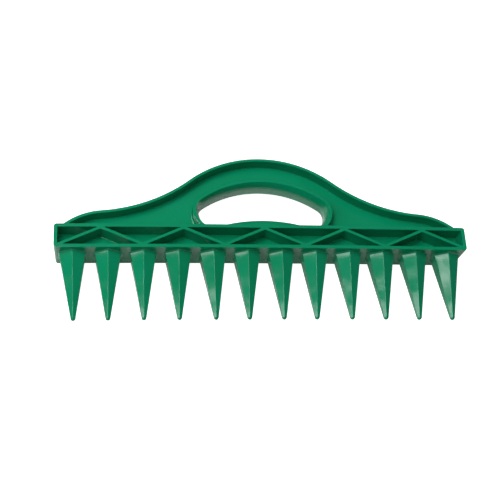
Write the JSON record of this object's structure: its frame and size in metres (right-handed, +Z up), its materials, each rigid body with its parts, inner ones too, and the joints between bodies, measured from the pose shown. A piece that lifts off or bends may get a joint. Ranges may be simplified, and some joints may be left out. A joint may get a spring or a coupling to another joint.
{
  "type": "undercoat rake",
  "caption": "One-piece moulded rake with a ribbed bar, an arched handle with a hand hole and a row of tapered teeth.",
  "frame": {"origin": "centre of the outline, on the surface that the rake's back rests on", "axes": "+X along the bar, +Y from the tooth tips to the crown of the handle, +Z up from the resting surface through the thickness"},
  "size_m": [0.301, 0.123, 0.03],
  "materials": {
    "moulded_plastic": "glossy moulded green plastic"
  },
  "bodies": {
    "root": {"handle_web": "moulded_plastic", "handle_outer_rim": "moulded_plastic", "hand_hole_rim": "moulded_plastic", "hand_hole_sill": "moulded_plastic", "bar_bottom_flange": "moulded_plastic", "bar_top_flange": "moulded_plastic", "left_end_wall": "moulded_plastic", "right_end_wall": "moulded_plastic", "bar_web": "moulded_plastic", "front_rib_01": "moulded_plastic", "front_rib_02": "moulded_plastic", "front_rib_03": "moulded_plastic", "front_rib_04": "moulded_plastic", "front_rib_05": "moulded_plastic", "front_rib_06": "moulded_plastic", "front_rib_07": "moulded_plastic", "front_rib_08": "moulded_plastic", "front_rib_09": "moulded_plastic", "front_rib_10": "moulded_plastic", "back_rib_01": "moulded_plastic", "back_rib_02": "moulded_plastic", "back_rib_03": "moulded_plastic", "back_rib_04": "moulded_plastic", "back_rib_05": "moulded_plastic", "back_rib_06": "moulded_plastic", "back_rib_07": "moulded_plastic", "back_rib_08": "moulded_plastic", "back_rib_09": "moulded_plastic", "back_rib_10": "moulded_plastic", "tooth_01": "moulded_plastic", "tooth_02": "moulded_plastic", "tooth_03": "moulded_plastic", "tooth_04": "moulded_plastic", "tooth_05": "moulded_plastic", "tooth_06": "moulded_plastic", "tooth_07": "moulded_plastic", "tooth_08": "moulded_plastic", "tooth_09": "moulded_plastic", "tooth_10": "moulded_plastic", "tooth_11": "moulded_plastic", "tooth_12": "moulded_plastic"}
  },
  "joints": []
}
